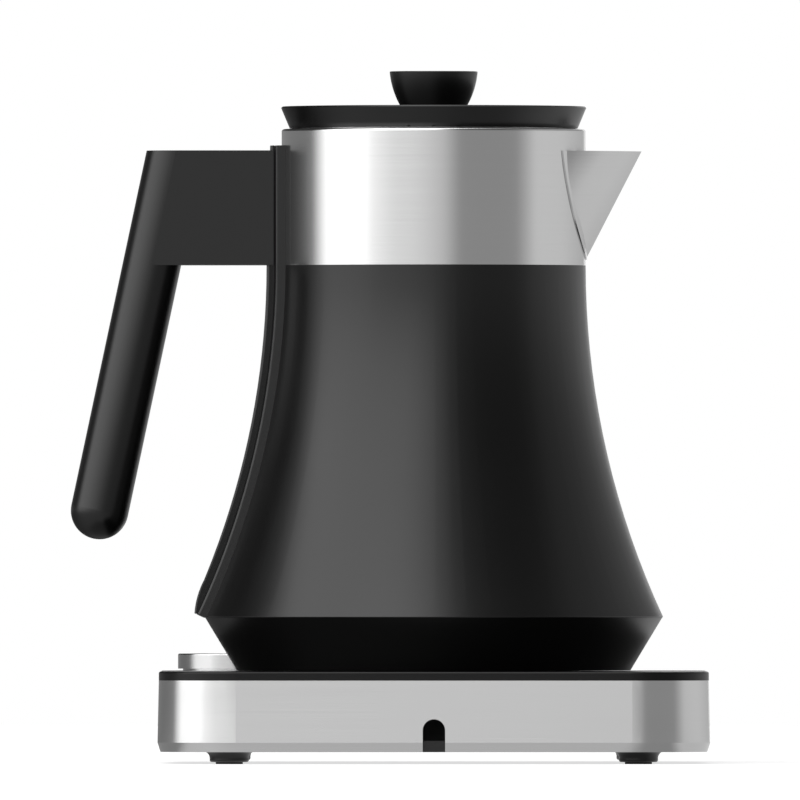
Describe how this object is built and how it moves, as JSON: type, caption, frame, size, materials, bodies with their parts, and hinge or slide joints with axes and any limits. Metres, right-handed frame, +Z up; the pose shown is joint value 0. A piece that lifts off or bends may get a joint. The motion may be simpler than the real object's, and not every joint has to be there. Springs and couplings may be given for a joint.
{
  "type": "electric kettle",
  "caption": "Cordless electric kettle: flared black jug with steel collar, beak spout, stick handle and lift-off lid, on a square steel-banded base with a push dial.",
  "frame": {"origin": "on the jug's axis, at the level of the foot pads' undersides", "axes": "+X towards the spout, +Y towards the front of the base (the cord slot faces -Y), +Z up"},
  "size_m": [0.232, 0.2, 0.2515],
  "materials": {
    "brushed_steel": "fine satin",
    "black_matte": "matte",
    "black_satin": "satin",
    "black_moulding": "matte",
    "rubber": "matte",
    "screw_steel": "plated",
    "brass": "satin",
    "heater_alloy": "cast",
    "wire_sleeve": "matte",
    "circuit_board": "lacquered"
  },
  "bodies": {
    "base": {"base_band": "brushed_steel", "base_deck": "black_satin", "base_pan": "black_satin", "foot_pad_1": "rubber", "foot_pad_2": "rubber", "foot_pad_3": "rubber", "foot_pad_4": "rubber", "base_screws": "screw_steel", "board_screws": "screw_steel", "connector_screws": "screw_steel", "clamp_screws": "screw_steel", "base_connector": "black_moulding", "base_contacts": "brass", "control_board": "circuit_board", "power_relay": "black_moulding", "power_module": "black_moulding", "terminal_block": "black_moulding", "base_wires": "wire_sleeve", "cord_clamp": "black_moulding", "encoder_body": "black_moulding", "press_switch": "screw_steel"},
    "encoder_rotor": {"encoder_rotor": "black_moulding"},
    "dial": {"dial_cap": "brushed_steel", "dial_hub": "black_moulding", "dial_shaft": "screw_steel"},
    "jug_connector": {"jug_connector": "black_moulding", "earth_pin": "brass", "inner_ring": "brass", "outer_ring": "brass"},
    "jug": {"steel_collar": "brushed_steel", "spout": "brushed_steel", "outer_shell": "black_matte", "inner_vessel": "brushed_steel", "bottom_cup": "black_satin", "cup_screws": "screw_steel", "connector_retainer": "black_moulding", "retainer_screws": "screw_steel", "heating_plate": "heater_alloy", "heating_element": "heater_alloy", "ntc_sensor": "screw_steel", "sensor_seal": "rubber", "boil_dry_cutout": "black_moulding", "handle": "black_matte", "handle_spine": "black_matte", "spine_cover": "black_matte", "handle_screws": "screw_steel", "spine_screws": "screw_steel"},
    "lid": {"lid_cap": "black_matte", "lid_plug": "brushed_steel", "lid_gasket": "rubber", "lid_knob": "black_matte", "lid_screw": "screw_steel"}
  },
  "joints": [
    {"name": "kettle_lift", "type": "slide", "parent": "base", "child": "jug_connector", "axis": [0, 0, 1], "range_m": [0, 0.15]},
    {"name": "kettle_swivel", "type": "hinge", "parent": "jug_connector", "child": "jug", "pos_m": [0, 0, 0.04], "axis": [0, 0, 1], "continuous": true},
    {"name": "lid_lift", "type": "slide", "parent": "jug", "child": "lid", "axis": [0, 0, 1], "range_m": [0, 0.06]},
    {"name": "dial_turn", "type": "hinge", "parent": "base", "child": "encoder_rotor", "pos_m": [-0.0716, 0.0716, 0.026], "axis": [0, 0, 1], "continuous": true},
    {"name": "dial_press", "type": "slide", "parent": "encoder_rotor", "child": "dial", "axis": [0, 0, -1], "range_m": [0, 0.0005], "stiffness_N_per_m": 1500, "springref_m": -0.0015}
  ]
}
